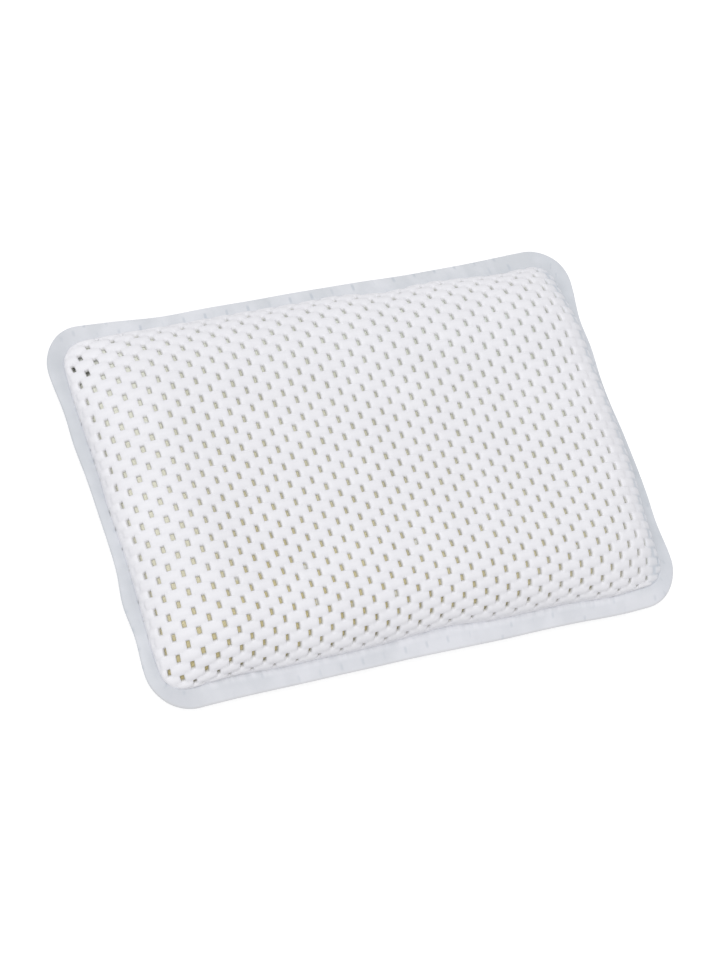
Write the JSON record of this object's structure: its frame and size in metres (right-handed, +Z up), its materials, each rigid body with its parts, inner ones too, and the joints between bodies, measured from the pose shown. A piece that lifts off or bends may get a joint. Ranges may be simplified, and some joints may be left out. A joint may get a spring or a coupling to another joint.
{
  "type": "bath pillow",
  "caption": "Domed foam bath pillow under an open brick-pattern mesh cover with a flat welded border, standing on suction cups.",
  "frame": {"origin": "on the surface the suction cups stand on, under the middle of the pillow", "axes": "+X along the pillow's long side, +Y across it, +Z up through the crown"},
  "size_m": [0.32, 0.212, 0.0395],
  "materials": {
    "mesh_cover": "matte foamed vinyl on open scrim",
    "welded_border": "satin, fused and slightly see-through",
    "foam": "matte open-cell foam",
    "suction_cup": "clear soft vinyl"
  },
  "bodies": {
    "pillow": {"top_mesh_cover": "mesh_cover", "welded_border": "welded_border", "back_mesh_cover": "mesh_cover", "foam_core": "foam"},
    "front_left_cup": {"suction_cup_front_left": "suction_cup"},
    "rear_left_cup": {"suction_cup_rear_left": "suction_cup"},
    "front_right_cup": {"suction_cup_front_right": "suction_cup"},
    "rear_right_cup": {"suction_cup_rear_right": "suction_cup"}
  },
  "joints": [
    {"name": "front_left_cup_turn", "type": "hinge", "parent": "pillow", "child": "front_left_cup", "pos_m": [-0.1, -0.056, 0.008], "axis": [0, 0, 1], "continuous": true},
    {"name": "rear_left_cup_turn", "type": "hinge", "parent": "pillow", "child": "rear_left_cup", "pos_m": [-0.1, 0.056, 0.008], "axis": [0, 0, 1], "continuous": true},
    {"name": "front_right_cup_turn", "type": "hinge", "parent": "pillow", "child": "front_right_cup", "pos_m": [0.1, -0.056, 0.008], "axis": [0, 0, 1], "continuous": true},
    {"name": "rear_right_cup_turn", "type": "hinge", "parent": "pillow", "child": "rear_right_cup", "pos_m": [0.1, 0.056, 0.008], "axis": [0, 0, 1], "continuous": true}
  ]
}
